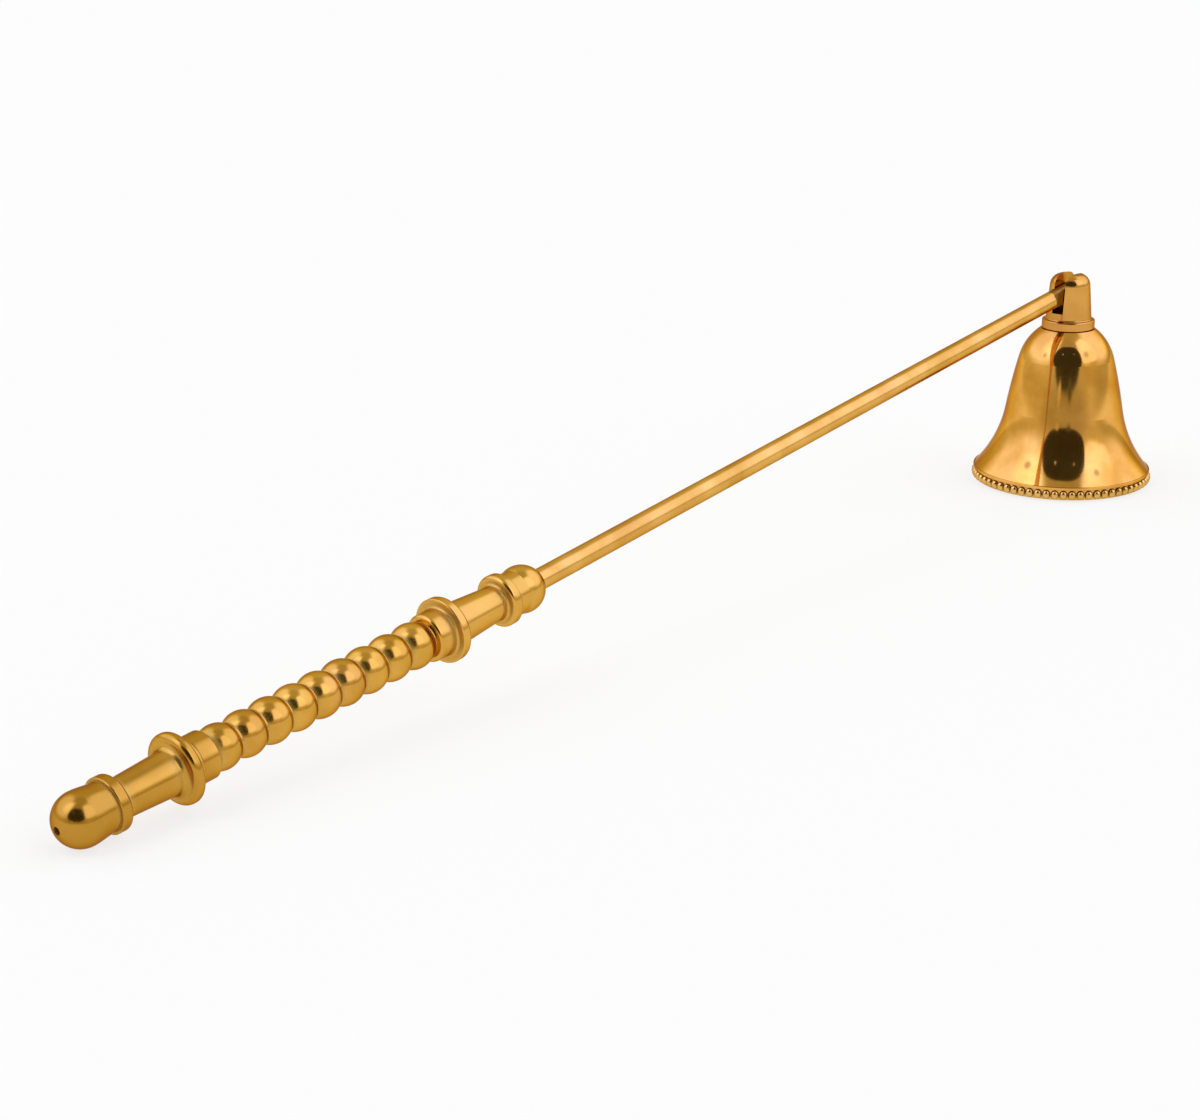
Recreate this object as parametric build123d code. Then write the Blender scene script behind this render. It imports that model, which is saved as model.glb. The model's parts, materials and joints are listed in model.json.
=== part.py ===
from build123d import *
import os
from math import asin, atan2, cos, degrees, dist, hypot, pi, radians, sin, sqrt, tan

# Brass candle snuffer: a bell hinged on a long rod with a turned and beaded handle.
# Lengths are in millimetres and angles in degrees. The bell stands on its lip, with the middle of
# its mouth at the origin and its axis on +Z. The arm leaves the hinge towards -X and slopes down
# until the pommel's dome touches the same table. The rod is slightly bent where it enters the handle.

# Bell
BELL_HEIGHT = 35.0          # table to the crown's flat top
CROWN_D = 12.1              # edge of the crown's flat top
SHOULDER_RADIUS = 12.0      # convex arc below the crown
SHOULDER_SLOPE = 54.0       # slope of the wall from the axis at the crown's edge
WAIST_SLOPE_TOP = 14.8      # slope where the shoulder ends
WAIST_SLOPE_BOTTOM = 9.5    # slope where the flare begins
WAIST_LENGTH = 12.1         # length of the slightly rounded waist
BELL_WALL = 1.3
CROWN_WALL = 1.8

# Rim of the bell
LIP_D = 37.7                # outside of the lip, which carries the beading
LIP_WALL = 1.2
LEDGE_WIDTH = 0.95          # the ledge above the beading stands out from the lip by this much
LEDGE_HEIGHT = 0.75
LEDGE_STEP = 0.3            # fine step from the flare's end to the ledge's edge

# Beading soldered round the lip
RIM_BEAD_COUNT = 64
RIM_BEAD_GAP = 0.06         # between neighbouring beads
RIM_BEAD_STRETCH = 1.12     # height of a bead over its width
BEAD_STANDOFF = 0.35        # bead centres outside the lip
BEAD_MARGIN = 0.08          # free height above and below the beads
BEADING_STRIP = 0.35        # thickness of the strip that carries the beads
BEADING_LIFT = 0.15         # the strip's lower edge above the table
SOLDER_GAP = 0.03

# Yoke
FOOT_D = 11.75
FOOT_HEIGHT = 2.15
FOOT_EDGE = 0.6             # rounding of the foot's upper edge
FOOT_LEDGE = 0.75           # width of the foot outside the post
POST_TAPER = 0.62           # the post's radius shrinks by this much up to its rounded top
POST_ROOT_FILLET = 0.4
PIN_HEIGHT = 6.35           # pin axis above the foot
POST_ABOVE_PIN = 1.1        # pin axis to the start of the rounded top
POST_TOP_ROUNDING = 2.5     # radial width of the rounding
POST_TOP_HEIGHT = 2.7
POST_CROWN = 0.25           # rise from the rounding to the middle
SLOT_WIDTH = 2.8
SLOT_DEPTH = 4.65           # below the pin axis
YOKE_STUD_D = 4.0
STUD_CLEARANCE = 0.1        # radial, in the crown and the washer
STUD_END = 0.6              # the stud stands out of the nut by this much

# Crown nut and washer, inside the bell
WASHER_D = 9.0
WASHER_THICKNESS = 0.8
NUT_FLATS = 7.0
NUT_HEIGHT = 3.2
NUT_CHAMFER = 0.35
THREAD_GAP = 0.05           # radial, between a thread and its tapped hole

# Hinge
PIN_D = 1.6
PIN_SEAT_GAP = 0.01         # radial, pin in the yoke's ears
PIN_RUNNING_GAP = 0.04      # radial, pin in the rod's eye
TONGUE_GAP = 0.15           # each side of the tongue in the slot

# Rod
ROD_D = 4.0
SHOULDER_CLEARANCE = 3.3    # the full round stops this far outside the post
SHOULDER_CHAMFER = 0.25
ROD_REACH = 178.9           # hinge to the ferrule's nose
ROD_BEND = 0.95             # the handle's slope is less than the rod's by this much
ROD_SEAT_GAP = 0.03         # radial, for solder
ROD_END_GAP = 0.3           # rod's end to the bottom of its socket
ROD_END_CHAMFER = 0.4

# Ferrule, from its nose towards the grip
NOSE_EDGE = 0.35            # flat edge of the nose round the rod
BALL_D = 8.86
BALL_TO_RING = 4.6
BALL_COVE_DEPTH = 0.33      # cove between the ball and the ring
FERRULE_RING_D = 9.7
FERRULE_RING_WIDTH = 2.1
FERRULE_NECK_FRONT_D = 6.4
FERRULE_NECK_BACK_D = 8.0
FERRULE_NECK_LENGTH = 11.95
FERRULE_FLANGE_D = 11.9
FERRULE_FLANGE_WIDTH = 2.15
FERRULE_COLLAR_D = 8.75
FERRULE_COLLAR_LENGTH = 3.9
FERRULE_WEB = 3.0           # metal between the rod's socket and the stud's hole

# Grip, from the ferrule towards the pommel
GRIP_BEAD_COUNT = 9
GRIP_BEAD_D = 8.3           # of the first bead
GRIP_TAPER = 0.35           # the last bead is smaller by this much
GRIP_BEAD_PITCH = 5.505
GRIP_GROOVE_DEPTH = 0.925   # below the last bead's surface
GRIP_GROOVE_LAND = 0.06     # least plain stretch on each side of a bead
GRIP_FRONT_LAND = 0.36      # plain stretch before the first bead's pitch
GRIP_BACK_LAND = 0.2
GRIP_SHOULDER_D = 7.0       # small step against the ferrule, before the first bead
GRIP_SHOULDER_LENGTH = 0.5
GRIP_COLLAR_D = 8.45
GRIP_COLLAR_LENGTH = 3.55

# Pommel, from the grip towards the tip
POMMEL_STEP_D = 9.1
POMMEL_STEP_LENGTH = 1.3
POMMEL_FLANGE_D = 12.4
POMMEL_FLANGE_WIDTH = 2.1
POMMEL_NECK_FRONT_D = 7.8
POMMEL_NECK_BACK_D = 6.8
POMMEL_NECK_LENGTH = 11.5
POMMEL_RING_D = 9.7
POMMEL_RING_WIDTH = 2.2
COVE_D = 8.6
COVE_LENGTH = 4.5           # ring to the dome's widest circle
POMMEL_DOME_D = 9.36
TIP_HOLE_D = 1.5
TIP_HOLE_DEPTH = 3.5

# Studs inside the handle
HANDLE_STUD_WALL = 1.0      # metal left round a stud at the grip's grooves
HANDLE_STUD_ENGAGEMENT = 8.0
HANDLE_STUD_END_GAP = 0.5
HANDLE_STUD_CHAMFER = 0.4

# Softened edges of the turned sections
EDGE_SMALL = 0.25
EDGE_MEDIUM = 0.7
EDGE_LARGE = 1.0
INNER_SMALL = 0.5
INNER_LARGE = 1.1
ROUNDING_SHARE = 0.48       # most of a wall that one rounded corner may take
DRILL_POINT = 59.0          # half angle of a drilled hole's end

# Rim, beading and yoke, as they follow from the sizes
lip_r = LIP_D / 2
ledge_r = lip_r + LEDGE_WIDTH
flare_r = ledge_r - LEDGE_STEP
bead_circle_r = lip_r + BEAD_STANDOFF
bead_r = bead_circle_r * sin(pi / RIM_BEAD_COUNT) - RIM_BEAD_GAP / 2
bead_height = BEADING_LIFT + BEAD_MARGIN + bead_r * RIM_BEAD_STRETCH
strip_top = bead_height + bead_r * RIM_BEAD_STRETCH + BEAD_MARGIN
ledge_top = strip_top + LEDGE_HEIGHT

crown_inside = BELL_HEIGHT - CROWN_WALL
foot_top = BELL_HEIGHT + FOOT_HEIGHT
pivot_z = foot_top + PIN_HEIGHT
washer_bottom = crown_inside - WASHER_THICKNESS
nut_bottom = washer_bottom - NUT_HEIGHT
stud_bottom = nut_bottom - STUD_END
post_base_r = FOOT_D / 2 - FOOT_LEDGE
post_top_r = post_base_r - POST_TAPER
post_edge = pivot_z + POST_ABOVE_PIN

# Places along the arm, measured from the hinge
nose_r = ROD_D / 2 + NOSE_EDGE
nose = ROD_REACH
ball_centre = nose + sqrt((BALL_D / 2) ** 2 - nose_r ** 2)
ferrule_ring = ball_centre + BALL_TO_RING
ferrule_neck = ferrule_ring + FERRULE_RING_WIDTH
ferrule_flange = ferrule_neck + FERRULE_NECK_LENGTH
ferrule_collar = ferrule_flange + FERRULE_FLANGE_WIDTH
front_seam = ferrule_collar + FERRULE_COLLAR_LENGTH

grip_groove_r = (GRIP_BEAD_D - GRIP_TAPER) / 2 - GRIP_GROOVE_DEPTH
grip_first_bead = front_seam + GRIP_FRONT_LAND + GRIP_BEAD_PITCH / 2
grip_collar = front_seam + GRIP_FRONT_LAND + GRIP_BEAD_COUNT * GRIP_BEAD_PITCH + GRIP_BACK_LAND
back_seam = grip_collar + GRIP_COLLAR_LENGTH

pommel_flange = back_seam + POMMEL_STEP_LENGTH
pommel_neck = pommel_flange + POMMEL_FLANGE_WIDTH
pommel_ring = pommel_neck + POMMEL_NECK_LENGTH
pommel_cove = pommel_ring + POMMEL_RING_WIDTH
dome_centre = pommel_cove + COVE_LENGTH
tip = dome_centre + POMMEL_DOME_D / 2

stud_hole_r = grip_groove_r - HANDLE_STUD_WALL
stud_hole_depth = HANDLE_STUD_ENGAGEMENT + HANDLE_STUD_END_GAP
handle_stud_r = stud_hole_r - THREAD_GAP
socket_r = ROD_D / 2 + ROD_SEAT_GAP
drill_points = (stud_hole_r + socket_r) / tan(radians(DRILL_POINT))
socket_end = front_seam - stud_hole_depth - drill_points - FERRULE_WEB


def resting_slope(height, rod, handle):
    """Slope of the rod at which a point of the bent arm comes down to a height above the table."""
    bend = radians(ROD_BEND)
    level = rod + handle * cos(bend)
    rise = handle * sin(bend)
    return asin((pivot_z - height) / hypot(level, rise)) + atan2(rise, level)


def sloping_frame(origin, slope):
    """Frame of the arm: X runs away from the hinge, Y points up and Z lies along the pin."""
    return Location(Plane(origin=origin, x_dir=(-cos(slope), 0, -sin(slope)), z_dir=(0, 1, 0)))


# The arm slopes until the pommel's dome rests on the table. Both frames measure along the arm
# from the hinge, so the handle's frame starts where the handle's axis would reach that far back.
rod_slope = resting_slope(POMMEL_DOME_D / 2, nose, dome_centre - nose)
handle_slope = rod_slope - radians(ROD_BEND)
rod_frame = sloping_frame((0, 0, pivot_z), rod_slope)
handle_frame = sloping_frame(
    (
        nose * (cos(handle_slope) - cos(rod_slope)),
        0,
        pivot_z + nose * (sin(handle_slope) - sin(rod_slope)),
    ),
    handle_slope,
)


def turned_upright(face):
    """Solid of a profile drawn with radius along X and height along Y, turned about Z."""
    return revolve(Plane.XZ * face, Axis.Z)


def turned_on_arm(face):
    """Solid of a profile drawn with distance along X and radius along Y, turned about the arm."""
    return revolve(face, Axis.X)


def upright_rod(radius, low, high):
    """Plain round bar on the bell's axis."""
    return Pos(0, 0, low) * Cylinder(radius, high - low, align=(Align.CENTER, Align.CENTER, Align.MIN))


def arm_rod(radius, near, far):
    """Plain round bar on the arm's axis."""
    bar = Cylinder(radius, far - near, align=(Align.CENTER, Align.CENTER, Align.MIN))
    return Pos(near, 0, 0) * Rot(0, 90, 0) * bar


def pin_bar(radius, length):
    """Round bar along the hinge pin's axis."""
    return Pos(0, 0, pivot_z) * Rot(90, 0, 0) * Cylinder(radius, length)


def heading(slope):
    """Direction of a wall that runs down and outwards at a slope from the axis."""
    return (sin(radians(slope)), -cos(radians(slope)))


def softened(points, roundings):
    """Outline through the points with each corner rounded as far as its two walls allow."""
    walls = [dist(a, b) for a, b in zip(points, points[1:])]
    limits = [ROUNDING_SHARE * min(pair) for pair in zip(walls, walls[1:])]
    return FilletPolyline(*points, radius=[min(pair) for pair in zip(roundings, limits)])


def bell_curve(inset):
    """The bell's outside profile, or a curve that lies inside it by inset everywhere."""
    waist_radius = WAIST_LENGTH / radians(WAIST_SLOPE_TOP - WAIST_SLOPE_BOTTOM)
    start = Vector(
        CROWN_D / 2 - inset * cos(radians(SHOULDER_SLOPE)),
        BELL_HEIGHT - inset * sin(radians(SHOULDER_SLOPE)),
    )
    shoulder = JernArc(
        start,
        heading(SHOULDER_SLOPE),
        SHOULDER_RADIUS - inset,
        WAIST_SLOPE_TOP - SHOULDER_SLOPE,
    )
    waist = JernArc(
        shoulder @ 1,
        heading(WAIST_SLOPE_TOP),
        waist_radius - inset,
        WAIST_SLOPE_BOTTOM - WAIST_SLOPE_TOP,
    )
    flare_start = waist @ 1 + inset * Vector(
        cos(radians(WAIST_SLOPE_BOTTOM)),
        sin(radians(WAIST_SLOPE_BOTTOM)),
    )
    chord = Vector(flare_r, ledge_top) - flare_start
    turn = degrees(atan2(chord.X, -chord.Y)) - WAIST_SLOPE_BOTTOM
    flare_radius = chord.length / (2 * sin(radians(turn)))
    flare = JernArc(
        waist @ 1,
        heading(WAIST_SLOPE_BOTTOM),
        flare_radius + inset,
        2 * turn,
    )
    return [shoulder, waist, flare]


def make_bell():
    outside = bell_curve(0)
    ledge = softened(
        [(flare_r, ledge_top), (ledge_r, ledge_top), (ledge_r, strip_top), (lip_r, strip_top)],
        [EDGE_SMALL, EDGE_SMALL],
    )
    lip = Polyline((lip_r, strip_top), (lip_r, 0), (0, 0), (0, BELL_HEIGHT), outside[0] @ 0)
    body = make_face(outside + [ledge, lip])

    inside = bell_curve(BELL_WALL)
    hollow_edge = Polyline(
        inside[-1] @ 1,
        ((inside[-1] @ 1).X, 0),
        (0, 0),
        (0, (inside[0] @ 0).Y),
        inside[0] @ 0,
    )
    hollow = make_face(inside + [hollow_edge])
    room = Rectangle(lip_r - LIP_WALL, crown_inside, align=(Align.MIN, Align.MIN))
    bell = turned_upright(body - (hollow & room))
    return bell - upright_rod(YOKE_STUD_D / 2 + STUD_CLEARANCE, washer_bottom, foot_top)


def make_rim_beading():
    inner_r = lip_r + SOLDER_GAP
    strip_r = inner_r + BEADING_STRIP
    strip = upright_rod(strip_r, BEADING_LIFT, strip_top)
    bead_top = bead_r * RIM_BEAD_STRETCH
    side = EllipticalCenterArc((0, 0), bead_r, bead_top, start_angle=-90, arc_size=180)
    bead = Pos(0, 0, bead_height) * turned_upright(make_face([side, Line((0, bead_top), (0, -bead_top))]))
    beads = PolarLocations(bead_circle_r, RIM_BEAD_COUNT) * bead
    return strip.fuse(*beads) - upright_rod(inner_r, 0, ledge_top)


def post_blank():
    """The yoke's foot and round-topped post before it is slotted and drilled."""
    side = softened(
        [
            (FOOT_D / 2 - EDGE_SMALL, BELL_HEIGHT),
            (FOOT_D / 2, BELL_HEIGHT + EDGE_SMALL),
            (FOOT_D / 2, foot_top),
            (post_base_r, foot_top),
            (post_top_r, post_edge),
        ],
        [EDGE_SMALL, FOOT_EDGE, POST_ROOT_FILLET],
    )
    rounding = EllipticalCenterArc(
        (post_top_r - POST_TOP_ROUNDING, post_edge),
        POST_TOP_ROUNDING,
        POST_TOP_HEIGHT,
        start_angle=0,
        arc_size=90,
    )
    middle = Polyline(
        rounding @ 1,
        (0, post_edge + POST_TOP_HEIGHT + POST_CROWN),
        (0, BELL_HEIGHT),
        (FOOT_D / 2 - EDGE_SMALL, BELL_HEIGHT),
    )
    return turned_upright(make_face([side, rounding, middle]))


def make_yoke():
    slot_floor = pivot_z - SLOT_DEPTH
    slot = Pos(0, 0, slot_floor) * Box(
        2 * FOOT_D,
        SLOT_WIDTH,
        SLOT_DEPTH + POST_ABOVE_PIN + POST_TOP_HEIGHT + 2 * POST_CROWN,
        align=(Align.CENTER, Align.CENTER, Align.MIN),
    )
    stud = upright_rod(YOKE_STUD_D / 2, stud_bottom, BELL_HEIGHT)
    stud = chamfer(stud.edges().group_by(Axis.Z)[0], STUD_END / 2)
    ears = post_blank() - slot - pin_bar(PIN_D / 2 + PIN_SEAT_GAP, 2 * FOOT_D)
    return ears + stud


def make_hinge_pin():
    return pin_bar(PIN_D / 2, 2 * FOOT_D) & post_blank()


def make_crown_washer():
    washer = upright_rod(WASHER_D / 2, washer_bottom, crown_inside)
    washer = chamfer(washer.edges().group_by(Axis.Z)[0], WASHER_THICKNESS / 4)
    return washer - upright_rod(YOKE_STUD_D / 2 + STUD_CLEARANCE, nut_bottom, BELL_HEIGHT)


def make_crown_nut():
    hexagon = RegularPolygon(NUT_FLATS / 2, 6, major_radius=False)
    blank = Pos(0, 0, nut_bottom) * extrude(hexagon, NUT_HEIGHT)
    corner_r = NUT_FLATS / sqrt(3)
    crown = upright_rod(corner_r, nut_bottom, washer_bottom)
    crown = chamfer(crown.edges().filter_by(GeomType.CIRCLE), NUT_CHAMFER)
    return (blank & crown) - upright_rod(YOKE_STUD_D / 2 + THREAD_GAP, stud_bottom, crown_inside)


def make_rod():
    shoulder = post_base_r + SHOULDER_CLEARANCE
    full = arm_rod(ROD_D / 2, shoulder, nose)
    full = chamfer(full.edges().group_by(Axis.X)[0], SHOULDER_CHAMFER)
    tongue = arm_rod(ROD_D / 2, 0, shoulder + ROD_D) + Sphere(ROD_D / 2)
    tongue = tongue & Box(3 * shoulder, 2 * ROD_D, SLOT_WIDTH - 2 * TONGUE_GAP)
    eye = Cylinder(PIN_D / 2 + PIN_RUNNING_GAP, 2 * ROD_D)
    seated = arm_rod(ROD_D / 2, nose, socket_end - ROD_END_GAP)
    seated = chamfer(seated.edges().group_by(Axis.X)[-1], ROD_END_CHAMFER)
    bend = Pos(nose, 0, 0) * Sphere(ROD_D / 2)
    return rod_frame * (full + tongue - eye) + handle_frame * (seated + bend)


def drilled_hole(radius, mouth, depth):
    """Drill shape that enters the arm's axis at mouth and goes depth along it, either way."""
    way = 1 if depth > 0 else -1
    point = radius / tan(radians(DRILL_POINT))
    profile = Polyline(
        (mouth - way * radius, 0),
        (mouth - way * radius, radius),
        (mouth + depth, radius),
        (mouth + depth + way * point, 0),
        close=True,
    )
    return turned_on_arm(make_face(profile))


def stud_hole(mouth, way):
    """Tapped hole for a handle stud."""
    return drilled_hole(stud_hole_r, mouth, way * stud_hole_depth)


def make_ferrule():
    ball_r = BALL_D / 2
    cove_r = ball_r - BALL_COVE_DEPTH
    ball_end = ball_centre + sqrt(ball_r ** 2 - cove_r ** 2)
    ball = ThreePointArc((nose, nose_r), (ball_centre, ball_r), (ball_end, cove_r))
    outline = softened(
        [
            (ball_end, cove_r),
            (ferrule_ring, cove_r),
            (ferrule_ring, FERRULE_RING_D / 2),
            (ferrule_neck, FERRULE_RING_D / 2),
            (ferrule_neck, FERRULE_NECK_FRONT_D / 2),
            (ferrule_flange, FERRULE_NECK_BACK_D / 2),
            (ferrule_flange, FERRULE_FLANGE_D / 2),
            (ferrule_collar, FERRULE_FLANGE_D / 2),
            (ferrule_collar, FERRULE_COLLAR_D / 2),
            (front_seam, FERRULE_COLLAR_D / 2),
            (front_seam, 0),
        ],
        [
            INNER_SMALL,
            EDGE_LARGE,
            EDGE_LARGE,
            INNER_SMALL,
            INNER_LARGE,
            EDGE_LARGE,
            EDGE_SMALL,
            INNER_SMALL,
            EDGE_MEDIUM,
        ],
    )
    axis = Polyline((front_seam, 0), (nose, 0), (nose, nose_r))
    body = turned_on_arm(make_face([ball, outline, axis]))
    socket = drilled_hole(socket_r, nose, socket_end - nose)
    return handle_frame * (body - socket - stud_hole(front_seam, -1))


def make_grip():
    shrink = GRIP_TAPER / (GRIP_BEAD_COUNT - 1)
    edges = []
    here = (front_seam, grip_groove_r)
    for i in range(GRIP_BEAD_COUNT):
        centre = grip_first_bead + i * GRIP_BEAD_PITCH
        top_r = (GRIP_BEAD_D - i * shrink) / 2
        half = min(sqrt(top_r ** 2 - grip_groove_r ** 2), GRIP_BEAD_PITCH / 2 - GRIP_GROOVE_LAND)
        near = (centre - half, grip_groove_r)
        far = (centre + half, grip_groove_r)
        edges += [Line(here, near), ThreePointArc(near, (centre, top_r), far)]
        here = far
    collar = softened(
        [
            here,
            (grip_collar, grip_groove_r),
            (grip_collar, GRIP_COLLAR_D / 2),
            (back_seam, GRIP_COLLAR_D / 2),
            (back_seam, 0),
        ],
        [INNER_SMALL, EDGE_SMALL, EDGE_SMALL],
    )
    axis = Polyline((back_seam, 0), (front_seam, 0), (front_seam, grip_groove_r))
    shoulder_end = front_seam + GRIP_SHOULDER_LENGTH
    shoulder = Polyline(
        (front_seam, 0),
        (front_seam, GRIP_SHOULDER_D / 2),
        (shoulder_end, GRIP_SHOULDER_D / 2),
        (shoulder_end, 0),
        close=True,
    )
    body = turned_on_arm(make_face(edges + [collar, axis])) + turned_on_arm(make_face(shoulder))
    return handle_frame * (body - stud_hole(front_seam, 1) - stud_hole(back_seam, -1))


def make_pommel():
    dome_r = POMMEL_DOME_D / 2
    outline = softened(
        [
            (back_seam, 0),
            (back_seam, POMMEL_STEP_D / 2),
            (pommel_flange, POMMEL_STEP_D / 2),
            (pommel_flange, POMMEL_FLANGE_D / 2),
            (pommel_neck, POMMEL_FLANGE_D / 2),
            (pommel_neck, POMMEL_NECK_FRONT_D / 2),
            (pommel_ring, POMMEL_NECK_BACK_D / 2),
            (pommel_ring, POMMEL_RING_D / 2),
            (pommel_cove, POMMEL_RING_D / 2),
            (pommel_cove, COVE_D / 2),
        ],
        [
            EDGE_SMALL,
            INNER_SMALL,
            EDGE_LARGE,
            EDGE_LARGE,
            INNER_LARGE,
            INNER_SMALL,
            EDGE_LARGE,
            EDGE_LARGE,
        ],
    )
    along = Vector(1, 0)
    cove = Spline((pommel_cove, COVE_D / 2), (dome_centre, dome_r), tangents=(along, along))
    dome = CenterArc((dome_centre, 0), dome_r, 0, 90)
    axis = Line((tip, 0), (back_seam, 0))
    body = turned_on_arm(make_face([outline, cove, dome, axis]))
    tip_hole = drilled_hole(TIP_HOLE_D / 2, tip, -TIP_HOLE_DEPTH)
    return handle_frame * (body - stud_hole(back_seam, 1) - tip_hole)


def make_handle_stud(seam):
    """Stud with half its length on each side of a seam."""
    stud = arm_rod(handle_stud_r, seam - HANDLE_STUD_ENGAGEMENT, seam + HANDLE_STUD_ENGAGEMENT)
    return handle_frame * chamfer(stud.edges().filter_by(GeomType.CIRCLE), HANDLE_STUD_CHAMFER)


parts = {
    "bell": make_bell(),
    "rim_beading": make_rim_beading(),
    "yoke": make_yoke(),
    "hinge_pin": make_hinge_pin(),
    "crown_washer": make_crown_washer(),
    "crown_nut": make_crown_nut(),
    "rod": make_rod(),
    "ferrule": make_ferrule(),
    "ferrule_stud": make_handle_stud(front_seam),
    "grip": make_grip(),
    "pommel_stud": make_handle_stud(back_seam),
    "pommel": make_pommel(),
}

os.makedirs("parts", exist_ok=True)
for name, part in parts.items():
    export_step(part, f"parts/{name}.step")

print(f"hinge at z {pivot_z:.3f} mm, tip {tip:.2f} mm along the arm")
print(f"rod slopes {degrees(rod_slope):.3f} degrees and the handle {degrees(handle_slope):.3f} degrees")
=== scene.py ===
import json
from math import cos, radians, sin

import bpy
from mathutils import Euler, Matrix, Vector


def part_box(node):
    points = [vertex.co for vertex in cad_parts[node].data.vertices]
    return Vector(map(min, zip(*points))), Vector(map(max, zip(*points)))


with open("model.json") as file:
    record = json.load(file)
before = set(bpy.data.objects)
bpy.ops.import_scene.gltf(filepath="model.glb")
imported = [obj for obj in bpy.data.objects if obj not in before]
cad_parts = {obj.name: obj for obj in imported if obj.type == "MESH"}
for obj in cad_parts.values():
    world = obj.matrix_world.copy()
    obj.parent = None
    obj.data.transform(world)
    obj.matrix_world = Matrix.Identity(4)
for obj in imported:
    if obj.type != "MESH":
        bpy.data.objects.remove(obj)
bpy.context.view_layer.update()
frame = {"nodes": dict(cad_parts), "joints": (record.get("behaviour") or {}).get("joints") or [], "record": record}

# Brass candle snuffer. The CAD pieces are shown as they are, and get their finishes here.
# Lengths are in metres, angles in degrees and colours in linear red, green and blue.

# Camera, fitted to the photograph
CAMERA_PLACE = (-0.51203, -0.30965, 0.16401)
CAMERA_HEADING = 41.29      # from +X towards +Y
CAMERA_PITCH = 17.307       # below level
CAMERA_ROLL = -0.0975
CAMERA_LENS = 80.23         # this and the sensor's width are in millimetres
SENSOR_WIDTH = 36.0

# Studio: a cream tent with brighter panels and a dark gap where the camera stands
TENT_COLOUR = (1.0, 0.975, 0.76)
PANEL_COLOUR = (0.97, 1.04, 1.62)
TENT_LEVEL = 0.75
TOP_LEVEL = 0.57
TOP_FROM = 62.0             # the wall of the tent turns into its top between these heights
TOP_TO = 76.0
PATCHES = (
    # heading, half width, lowest, highest, softness of the edge, squareness, level, share of PANEL_COLOUR
    (318.0, 42.0, -8.0, 11.0, 0.30, 3.0, 0.60, 0.0),    # shaded foot of the right wall
    (127.0, 50.0, 14.0, 71.0, 0.25, 3.0, 1.32, 1.0),    # left panel
    (154.0, 24.0, 34.0, 74.0, 0.60, 2.0, 1.95, 1.0),    # its brightest part
    (332.0, 42.0, 11.0, 66.0, 0.25, 3.0, 1.40, 1.0),    # far right panel
    (277.0, 26.0, 19.0, 67.0, 0.14, 4.0, 1.60, 1.0),    # near right panel
    (214.0, 46.0, -30.0, 17.0, 0.30, 3.0, 0.52, 0.0),   # shaded wall below the gap
    (216.0, 38.0, 40.0, 76.0, 0.30, 2.5, 0.50, 0.0),    # shaded wall above the gap
    (215.0, 38.5, 10.8, 60.5, 0.035, 2.9, 0.05, 0.0),   # gap
    (200.0, 3.5, 8.0, 13.2, 0.20, 2.0, 0.72, 0.0),      # pale stand in the gap
    (222.0, 5.0, 9.0, 14.0, 0.40, 2.0, 0.13, 0.0),      # brown stand in the gap
    (200.5, 1.4, 41.6, 44.4, 0.50, 2.0, 0.90, 1.0),     # small lamp in the gap
    (235.0, 1.4, 41.6, 44.4, 0.50, 2.0, 0.50, 1.0),     # another small lamp
)

# White floor and backdrop
WHITE = (1.0, 1.0, 1.0)
WHITE_LEVEL = 1.0
BACKDROP_FROM = 1.0         # metal sees the backdrop give way to the tent between these heights
BACKDROP_TO = 3.5
FLOOR_SIZE = 20.0
FLOOR_DROP = 0.00005        # just under the lip
FLOOR_WHITE = (0.97, 0.94, 0.70)
FLOOR_GLOW = 0.75           # share of plain white that the camera and the metal see in the floor

# Brass, deepest and palest
BELL_BRASS = ((0.66, 0.298, 0.039), (0.85, 0.441, 0.092))
BEADING_BRASS = ((0.67, 0.378, 0.081), (0.79, 0.482, 0.140))
YOKE_BRASS = ((0.54, 0.235, 0.032), (0.70, 0.355, 0.072))
ROD_BRASS = ((0.66, 0.337, 0.055), (0.82, 0.456, 0.109))
HANDLE_BRASS = ((0.58, 0.284, 0.027), (0.73, 0.393, 0.062))

# Other colours of the metal, of what lies on it, and of painted light and shade
POMMEL_END_SHADE_BRASS = (0.48, 0.231, 0.024)     # painted shade, towards the pommel's end
FERRULE_LIGHT_BRASS = (0.75, 0.408, 0.077)        # painted light, on the ferrule
FIXING_BRASS = (0.63, 0.300, 0.040)
BRASS_PINK = (0.76, 0.360, 0.115)
EDGE_GOLD = (0.50, 0.31, 0.11)
STEEL = ((0.27, 0.27, 0.28), (0.46, 0.46, 0.47))
# Paler brass: painted light in the handle's corners, against the shade there
PAINTED_CORNER_LIGHT = (0.70, 0.455, 0.100)
# Dark brown: tarnish, and also painted shade in the corners of the bell, beading and rod
TARNISH_AND_SHADE = (0.150, 0.078, 0.016)
# Near black: dirt, and also painted shade in the yoke's slot and on the rod's tongue
BLACK_DIRT_AND_SHADE = (0.050, 0.030, 0.010)
SOOT = (0.030, 0.022, 0.014)
LACQUER = 0.15
LACQUER_ROUGHNESS = 0.06

# Roughness, where each finish is smoothest and where it is dullest
BELL_ROUGHNESS = (0.05, 0.10)
BEADING_ROUGHNESS = (0.17, 0.27)
YOKE_ROUGHNESS = (0.10, 0.19)
FIXING_ROUGHNESS = (0.35, 0.60)
ROD_ROUGHNESS = (0.11, 0.24)
HANDLE_ROUGHNESS = (0.10, 0.18)
STEEL_ROUGHNESS = (0.28, 0.45)

# Roughness added by small patches, by what lies on the metal, and in the handle's corners
BELL_PATCH_ROUGHNESS = 0.03
ARM_PATCH_ROUGHNESS = 0.05
THIN_DIRT_ROUGHNESS = 0.25
CAKED_DIRT_ROUGHNESS = 0.30
CORNER_LIGHT_ROUGHNESS = 0.45
SOOT_ROUGHNESS = 0.40

# Depth of the marks
BELL_RELIEF = 0.0000006
BEADING_RELIEF = 0.000006
YOKE_RELIEF = 0.0000015
FIXING_RELIEF = 0.00003
ARM_RELIEF = 0.000004
STEEL_RELIEF = 0.00001

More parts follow.
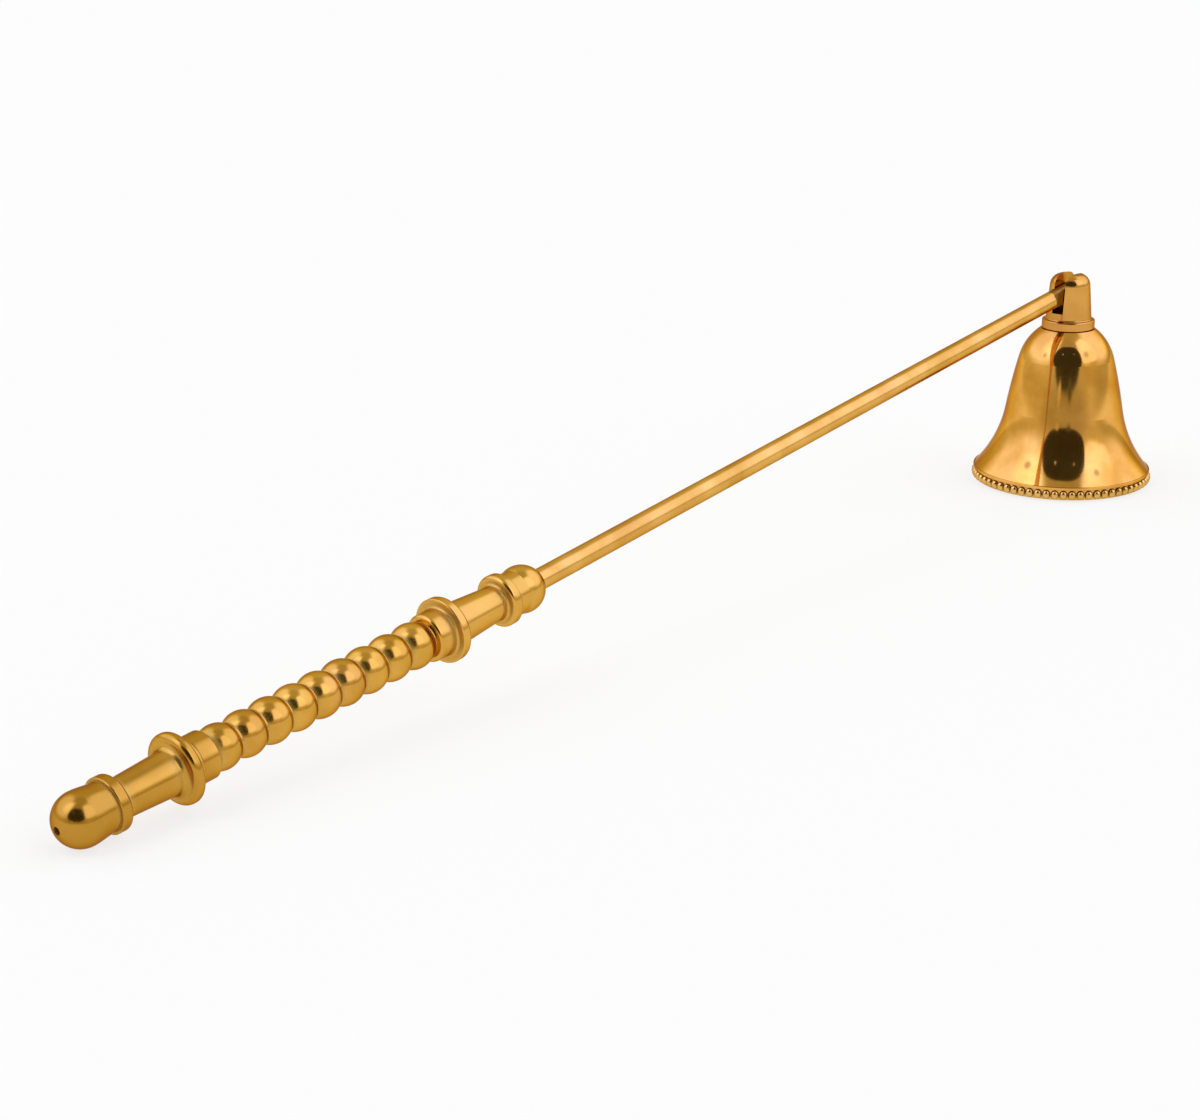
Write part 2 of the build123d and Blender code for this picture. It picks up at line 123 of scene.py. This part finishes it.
# Sizes of the marks
CLOUD = 0.009               # broad patches of colour
PATCH = 0.0016              # small patches of gloss
RING_PITCH = 0.00035        # marks left by turning and polishing
STREAK_WIDTH = 0.00030      # marks left by drawing
MARK_LENGTH = 0.03
MARK_DETAIL = 2.0
PATCH_DETAIL = 3.0
STEEL_DETAIL = 4.0
FIXING_DETAIL = 5.0

# Values of the noise at which a colour starts and is full
CLOUD_SPAN = (0.3, 0.7)
PINK_SPAN = (0.5, 0.75)
WORN_SPAN = (0.58, 0.8)
FIXING_SPAN = (0.3, 0.8)

# How far the corner colours reach out of a corner (tarnish with painted shade, and on the handle painted light),
# and the openness at which they start and are full
BELL_CORNER = 0.0010
BEADING_CORNER = 0.0010
YOKE_CORNER = 0.003
ROD_CORNER = 0.002
HANDLE_CORNER = 0.0035
CORNER_SPAN = (0.86, 0.42)
HANDLE_CORNER_SPAN = (0.93, 0.72)
CORNER_SAMPLES = 12

# Greatest share of each colour over the brass, or its shares in the thinnest and thickest patches
PINK_SHARE = 0.4
# Tarnish with painted shade in the corners of the bell and of the beading
BELL_TARNISH_AND_SHADE_SHARE = 0.8
BEADING_TARNISH_AND_SHADE_SHARES = (0.4, 0.75)
# Black dirt with painted shade in the yoke's corners and slot
YOKE_BLACK_DIRT_AND_SHADE_SHARES = (0.85, 1.1)
WORN_SHARE = 0.25
SOOT_SHARES = (0.55, 0.95)
# Painted shade, with dirt, on the tongue inside the yoke's slot
TONGUE_SHADE_SHARES = (0.55, 0.85)
# Painted shade towards the pommel's end, and painted light on the ferrule
POMMEL_END_SHADE_SHARE = 0.8
FERRULE_LIGHT_SHARE = 0.6
# Painted light in the handle's corners
CORNER_LIGHT_SHARE = 0.8
CORNER_LIGHT_SHARES = (0.8, 1.0)

# Brown spots on the bell
SPOTS = (
    # heading round the bell, height, radius and strength
    (185.3, 0.00671, 0.00085, 0.60),
    (238.0, 0.00579, 0.00070, 0.55),
    (237.5, 0.03088, 0.00065, 0.50),
    (182.4, 0.03042, 0.00055, 0.45),
    (74.0, 0.01420, 0.00055, 0.50),
    (311.0, 0.00910, 0.00045, 0.55),
)
SPOT_FADE = (1.5, 0.3)      # a spot starts and is full at these shares of its radius
INSIDE_FADE = 0.001         # the soot of the inside starts and is full this close to the turn of the lip

# The arm
HANDLE_SLOPE = 7.294
ROD_SLOPE = 8.244
HANDLE_LENGTH = 0.108
POMMEL_END_SHADE_SPAN = (0.50, 1.00) # shares of the handle's length from its front, where the painted shade starts and is full
FERRULE_LIGHT_SPAN = (0.36, 0.22)
TONGUE_LENGTH = 0.0083      # hinge to the shoulder of the rod
TONGUE_SHADE_FADE = (1.03, 0.97)  # shares of that length, where the painted shade and dirt on the tongue start and are full
HINGE = frame["joints"][0]["pos_m"]
HANDLE_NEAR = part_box("ferrule")[1][0]


class Tree:
    """Node tree of a material or world, with short ways to add to it."""

    def __init__(self, owner):
        owner.use_nodes = True
        self.tree = owner.node_tree
        self.tree.nodes.clear()

    def add(self, kind, inputs=None, **settings):
        """New node with its settings, and with inputs that are sockets to link or plain values."""
        node = self.tree.nodes.new(kind)
        for name, value in settings.items():
            setattr(node, name, value)
        for key, value in (inputs or {}).items():
            self.feed(node.inputs[key], value)
        return node

    def feed(self, socket, value):
        """Link a socket to another one, or set it to a plain value."""
        if isinstance(value, bpy.types.NodeSocket):
            self.tree.links.new(value, socket)
        elif socket.type == "RGBA" and len(value) == 3:
            socket.default_value = (*value, 1.0)
        else:
            socket.default_value = value

    def calc(self, operation, *values):
        """Result of one calculation."""
        return self.add("ShaderNodeMath", dict(enumerate(values)), operation=operation).outputs[0]

    def times(self, first, second):
        """Product of two numbers."""
        return self.calc("MULTIPLY", first, second)

    def plus(self, first, second):
        """Sum of two numbers."""
        return self.calc("ADD", first, second)

    def length(self, first, second):
        """Length of a line that goes this far in two directions at right angles."""
        return self.calc("SQRT", self.plus(self.times(first, first), self.times(second, second)))

    def dot(self, first, second):
        """Dot product of two vectors."""
        node = self.add("ShaderNodeVectorMath", {0: first, 1: second}, operation="DOT_PRODUCT")
        return node.outputs["Value"]

    def ease(self, value, start, full):
        """Goes smoothly from 0 to 1 as the value goes from start to full."""
        inputs = {"Value": value, "From Min": start, "From Max": full}
        node = self.add("ShaderNodeMapRange", inputs, interpolation_type="SMOOTHSTEP")
        return node.outputs["Result"]

    def between(self, share, first, second):
        """Number that goes from first to second with the share."""
        return self.add("ShaderNodeMix", {0: share, 2: first, 3: second}).outputs[0]

    def mix(self, share, first, second):
        """Colour that goes from first to second with the share."""
        inputs = {0: share, 6: first, 7: second}
        return self.add("ShaderNodeMix", inputs, data_type="RGBA").outputs[2]

    def place(self):
        """Place on the object."""
        return self.add("ShaderNodeTexCoord").outputs["Object"]

    def measured(self, origin=(0, 0, 0), slope=0.0, unit=(1.0, 1.0, 1.0)):
        """Place measured from an origin, along axes that slope up towards +X, in these units."""
        inputs = {
            "Vector": self.place(),
            "Location": origin,
            "Rotation": (0, -radians(slope), 0),
            "Scale": unit,
        }
        return self.add("ShaderNodeMapping", inputs, vector_type="TEXTURE").outputs[0]

    def axes(self, vector):
        """The three parts of a vector."""
        return self.add("ShaderNodeSeparateXYZ", {0: vector}).outputs

    def noise(self, vector, detail, roughness=0.55):
        """Noise with features about one unit across."""
        inputs = {"Vector": vector, "Scale": 1.0, "Detail": detail, "Roughness": roughness}
        return self.add("ShaderNodeTexNoise", inputs).outputs["Fac"]

    def corner(self, reach, span=CORNER_SPAN):
        """1 in a corner that is closed in within this reach, and 0 on open faces."""
        inputs = {"Distance": reach}
        node = self.add("ShaderNodeAmbientOcclusion", inputs, only_local=True, samples=CORNER_SAMPLES)
        return self.ease(node.outputs["AO"], *span)

    def rays(self):
        """Whether the camera sent the ray, and whether metal or glass sent it on."""
        kinds = self.add("ShaderNodeLightPath").outputs
        mirrored = self.calc("MAXIMUM", kinds["Is Glossy Ray"], kinds["Is Transmission Ray"])
        return kinds["Is Camera Ray"], mirrored

    def finish(self, kind, shader):
        """Join the shader to an output of this kind."""
        output = self.add(kind)
        self.tree.links.new(shader.outputs[0], output.inputs["Surface"])


def make_camera():
    data = bpy.data.cameras.new("camera")
    data.lens = CAMERA_LENS
    data.sensor_width = SENSOR_WIDTH
    data.sensor_fit = "HORIZONTAL"
    camera = bpy.data.objects.new("camera", data)
    upright = Euler((radians(90 - CAMERA_PITCH), 0, radians(CAMERA_HEADING - 90)))
    turn = upright.to_matrix() @ Matrix.Rotation(radians(CAMERA_ROLL), 3, "Z")
    camera.matrix_world = Matrix.Translation(CAMERA_PLACE) @ turn.to_4x4()
    bpy.context.scene.collection.objects.link(camera)
    bpy.context.scene.camera = camera


def patch(tree, direction, height, heading, half_width, low, high, softness, squareness):
    """1 inside a patch of the tent with rounded corners, and 0 outside."""
    ahead = (cos(radians(heading)), sin(radians(heading)), 0)
    aside = (-sin(radians(heading)), cos(radians(heading)), 0)
    turn = tree.calc("ARCTAN2", tree.dot(direction, aside), tree.dot(direction, ahead))
    across = tree.calc("DIVIDE", turn, radians(half_width))
    middle = radians(low + high) / 2
    up = tree.calc("DIVIDE", tree.calc("SUBTRACT", height, middle), radians(high - low) / 2)
    powers = [tree.calc("POWER", tree.calc("ABSOLUTE", share), squareness) for share in (across, up)]
    distance = tree.calc("POWER", tree.plus(*powers), 1 / squareness)
    return tree.ease(distance, 1 + softness, 1 - softness)


def make_world():
    """The tent round the table and the white backdrop behind it."""
    world = bpy.data.worlds.new("studio")
    bpy.context.scene.world = world
    tree = Tree(world)
    direction = tree.add("ShaderNodeTexCoord").outputs["Generated"]
    height = tree.calc("ARCSINE", tree.axes(direction)["Z"])
    level = tree.between(tree.ease(height, radians(TOP_FROM), radians(TOP_TO)), TENT_LEVEL, TOP_LEVEL)
    colour = TENT_COLOUR
    for *shape, patch_level, coolness in PATCHES:
        inside = patch(tree, direction, height, *shape)
        level = tree.between(inside, level, patch_level)
        colour = tree.mix(tree.times(inside, coolness), colour, PANEL_COLOUR)
    seen, mirrored = tree.rays()
    foot = tree.ease(height, radians(BACKDROP_TO), radians(BACKDROP_FROM))
    white = tree.calc("MAXIMUM", seen, tree.times(mirrored, foot))
    inputs = {
        "Color": tree.mix(white, colour, WHITE),
        "Strength": tree.between(white, level, WHITE_LEVEL),
    }
    tree.finish("ShaderNodeOutputWorld", tree.add("ShaderNodeBackground", inputs))


def make_floor():
    bpy.ops.mesh.primitive_plane_add(size=FLOOR_SIZE, location=(0, 0, -FLOOR_DROP))
    floor = bpy.context.object
    floor.name = "floor"
    material = bpy.data.materials.new("floor_white")
    tree = Tree(material)
    matt = tree.add("ShaderNodeBsdfDiffuse", {"Color": FLOOR_WHITE})
    white = tree.add("ShaderNodeEmission", {"Color": WHITE, "Strength": WHITE_LEVEL})
    share = tree.times(tree.calc("MAXIMUM", *tree.rays()), FLOOR_GLOW)
    mixed = tree.add("ShaderNodeMixShader", {0: share, 1: matt.outputs[0], 2: white.outputs[0]})
    tree.finish("ShaderNodeOutputMaterial", mixed)
    floor.data.materials.append(material)


def metal(name, paint):
    """Metal whose colour, roughness and relief the function paint makes in its tree."""
    material = bpy.data.materials.new(name)
    tree = Tree(material)
    inputs = {"Metallic": 1.0}
    inputs.update(paint(tree))
    tree.finish("ShaderNodeOutputMaterial", tree.add("ShaderNodeBsdfPrincipled", inputs))
    return material


def small_patches(tree, detail=PATCH_DETAIL):
    """Noise in small patches."""
    return tree.noise(tree.measured(unit=[PATCH] * 3), detail)


def upright_rings(tree):
    """Noise in rings round the bell's axis."""
    return tree.noise(tree.measured(unit=(MARK_LENGTH, MARK_LENGTH, RING_PITCH)), MARK_DETAIL)


def handle_rings(tree, detail=MARK_DETAIL):
    """Noise in rings round the handle's axis."""
    unit = (RING_PITCH, MARK_LENGTH, MARK_LENGTH)
    return tree.noise(tree.measured(HINGE, HANDLE_SLOPE, unit), detail)


def clouded(tree, deepest, palest):
    """Brass that is paler, deeper and pinker in broad patches."""
    cloud = tree.noise(tree.measured(unit=[CLOUD] * 3), PATCH_DETAIL)
    pink = tree.noise(tree.measured(origin=(CLOUD, 2 * CLOUD, 0), unit=[2 * CLOUD] * 3), MARK_DETAIL)
    colour = tree.mix(tree.ease(cloud, *CLOUD_SPAN), deepest, palest)
    return tree.mix(tree.times(tree.ease(pink, *PINK_SPAN), PINK_SHARE), colour, BRASS_PINK)


def relief(tree, height, depth):
    """Normal that follows small marks."""
    inputs = {"Height": height, "Strength": 1.0, "Distance": depth}
    return tree.add("ShaderNodeBump", inputs).outputs["Normal"]


def lacquered():
    """Sockets that are the same all over lacquered brass."""
    return {
        "Specular Tint": EDGE_GOLD,
        "Coat Weight": LACQUER,
        "Coat Roughness": LACQUER_ROUGHNESS,
    }


def spots(tree):
    """Share of brown stain on the bell, in a few small soft spots."""
    x, y, z = tree.axes(tree.place())
    heading = tree.calc("ARCTAN2", y, x)
    radius = tree.length(x, y)
    stain = 0.0
    for spot_heading, height, spot_radius, strength in SPOTS:
        signed_heading = (spot_heading + 180) % 360 - 180
        across = tree.times(tree.calc("SUBTRACT", heading, radians(signed_heading)), radius)
        distance = tree.length(across, tree.calc("SUBTRACT", z, height))
        inside = tree.ease(distance, *(share * spot_radius for share in SPOT_FADE))
        stain = tree.calc("MAXIMUM", stain, tree.times(inside, strength))
    return stain


def bell_inside(tree):
    """1 on faces of the bell that look towards its axis, and 0 on its outside."""
    normal = tree.add("ShaderNodeTexCoord").outputs["Normal"]
    inputs = {0: tree.place(), 1: (1, 1, 0)}
    outward = tree.add("ShaderNodeVectorMath", inputs, operation="MULTIPLY").outputs[0]
    return tree.ease(tree.dot(normal, outward), INSIDE_FADE, -INSIDE_FADE)


def bell_paint(tree):
    rings = upright_rings(tree)
    patches = small_patches(tree)
    inside = bell_inside(tree)
    # Corners darken with tarnish and painted shade; the spots are brown stains
    stain_and_shade = tree.calc("MAXIMUM", tree.times(tree.corner(BELL_CORNER), BELL_TARNISH_AND_SHADE_SHARE), spots(tree))
    colour = tree.mix(stain_and_shade, clouded(tree, *BELL_BRASS), TARNISH_AND_SHADE)
    gloss = tree.plus(tree.between(rings, *BELL_ROUGHNESS), tree.times(patches, BELL_PATCH_ROUGHNESS))
    covered = tree.plus(tree.times(stain_and_shade, THIN_DIRT_ROUGHNESS), tree.times(inside, SOOT_ROUGHNESS))
    return {
        "Base Color": tree.mix(tree.times(inside, tree.between(patches, *SOOT_SHARES)), colour, SOOT),
        "Roughness": tree.plus(gloss, covered),
        "Normal": relief(tree, rings, BELL_RELIEF),
        **lacquered(),
    }


def beading_paint(tree):
    patches = small_patches(tree)
    # Between the beads and in their corners: tarnish with painted shade
    stain_and_shade = tree.times(tree.corner(BEADING_CORNER), tree.between(patches, *BEADING_TARNISH_AND_SHADE_SHARES))
    gloss = tree.between(patches, *BEADING_ROUGHNESS)
    return {
        "Base Color": tree.mix(stain_and_shade, clouded(tree, *BEADING_BRASS), TARNISH_AND_SHADE),
        "Roughness": tree.plus(gloss, tree.times(stain_and_shade, CAKED_DIRT_ROUGHNESS)),
        "Normal": relief(tree, patches, BEADING_RELIEF),
        **lacquered(),
    }


def yoke_paint(tree):
    rings = upright_rings(tree)
    # The yoke's corners, its slot most of all, get black dirt and painted shade
    stain_and_shade = tree.times(tree.corner(YOKE_CORNER), tree.between(small_patches(tree), *YOKE_BLACK_DIRT_AND_SHADE_SHARES))
    gloss = tree.between(rings, *YOKE_ROUGHNESS)
    return {
        "Base Color": tree.mix(stain_and_shade, clouded(tree, *YOKE_BRASS), BLACK_DIRT_AND_SHADE),
        "Roughness": tree.plus(gloss, tree.times(stain_and_shade, CAKED_DIRT_ROUGHNESS)),
        "Normal": relief(tree, rings, YOKE_RELIEF),
        **lacquered(),
    }


def fixing_paint(tree):
    patches = small_patches(tree, FIXING_DETAIL)
    return {
        "Base Color": tree.mix(tree.ease(patches, *FIXING_SPAN), FIXING_BRASS, TARNISH_AND_SHADE),
        "Roughness": tree.between(patches, *FIXING_ROUGHNESS),
        "Normal": relief(tree, patches, FIXING_RELIEF),
    }


def rod_paint(tree):
    streak_unit = (MARK_LENGTH, STREAK_WIDTH, STREAK_WIDTH)
    worn_unit = (2 * MARK_LENGTH, CLOUD, CLOUD)
    streaks = tree.noise(tree.measured(HINGE, ROD_SLOPE, streak_unit), MARK_DETAIL)
    worn = tree.noise(tree.measured(HINGE, ROD_SLOPE, worn_unit), PATCH_DETAIL)
    patches = small_patches(tree)
    dulled = tree.times(tree.ease(worn, *WORN_SPAN), WORN_SHARE)
    # Corners of the rod get tarnish with painted shade; worn patches are dulled
    stain_and_shade = tree.calc("MAXIMUM", tree.corner(ROD_CORNER), dulled)
    along = tree.axes(tree.measured(HINGE, ROD_SLOPE))["X"]
    # The tongue inside the yoke's slot is darkened: painted shade with dirt
    tongue_shade = tree.ease(along, *(-share * TONGUE_LENGTH for share in TONGUE_SHADE_FADE))
    colour = tree.mix(stain_and_shade, clouded(tree, *ROD_BRASS), TARNISH_AND_SHADE)
    gloss = tree.plus(tree.between(streaks, *ROD_ROUGHNESS), tree.times(patches, ARM_PATCH_ROUGHNESS))
    return {
        "Base Color": tree.mix(tree.times(tongue_shade, tree.between(patches, *TONGUE_SHADE_SHARES)), colour, BLACK_DIRT_AND_SHADE),
        "Roughness": tree.plus(gloss, tree.times(stain_and_shade, THIN_DIRT_ROUGHNESS)),
        "Normal": relief(tree, streaks, ARM_RELIEF),
        **lacquered(),
    }


def handle_share(tree, span):
    """Goes from 0 to 1 between two shares of the handle's length, counted from its front end."""
    along = tree.axes(tree.place())["X"]
    return tree.ease(along, *(HANDLE_NEAR - share * HANDLE_LENGTH for share in span))


def handle_paint(tree):
    rings = handle_rings(tree)
    patches = small_patches(tree)
    corner = tree.corner(HANDLE_CORNER, HANDLE_CORNER_SPAN)
    # The handle's corners are painted paler and made rougher: painted light against the shade there
    corner_light = tree.times(corner, tree.between(patches, *CORNER_LIGHT_SHARES))
    # Painted shade darkens the handle towards the pommel, and painted light brightens the ferrule
    pommel_end_shade = tree.times(handle_share(tree, POMMEL_END_SHADE_SPAN), POMMEL_END_SHADE_SHARE)
    ferrule_light = tree.times(handle_share(tree, FERRULE_LIGHT_SPAN), FERRULE_LIGHT_SHARE)
    colour = tree.mix(pommel_end_shade, clouded(tree, *HANDLE_BRASS), POMMEL_END_SHADE_BRASS)
    colour = tree.mix(ferrule_light, colour, FERRULE_LIGHT_BRASS)
    gloss = tree.plus(tree.between(rings, *HANDLE_ROUGHNESS), tree.times(patches, ARM_PATCH_ROUGHNESS))
    return {
        "Base Color": tree.mix(tree.times(corner_light, CORNER_LIGHT_SHARE), colour, PAINTED_CORNER_LIGHT),
        "Roughness": tree.plus(gloss, tree.times(corner_light, CORNER_LIGHT_ROUGHNESS)),
        "Normal": relief(tree, rings, ARM_RELIEF),
        **lacquered(),
    }


def steel_paint(tree):
    rings = handle_rings(tree, STEEL_DETAIL)
    return {
        "Base Color": tree.mix(tree.ease(rings, *CLOUD_SPAN), *STEEL),
        "Roughness": tree.between(rings, *STEEL_ROUGHNESS),
        "Normal": relief(tree, rings, STEEL_RELIEF),
    }


PAINTS = {
    "bell_brass": bell_paint,
    "beading_brass": beading_paint,
    "yoke_brass": yoke_paint,
    "fixing_brass": fixing_paint,
    "rod_brass": rod_paint,
    "handle_brass": handle_paint,
    "stud_steel": steel_paint,
}


def dress_nodes():
    """Give each CAD node the finish of its slot in the record."""
    materials = {slot: metal(slot, paint) for slot, paint in PAINTS.items()}
    for part in frame["record"]["subparts"]:
        slots = frame["nodes"][part["node"]].data.materials
        slots.clear()
        slots.append(materials[part["material_slot"]])


make_camera()
make_world()
make_floor()
dress_nodes()

bpy.context.scene.view_settings.view_transform = "Standard"
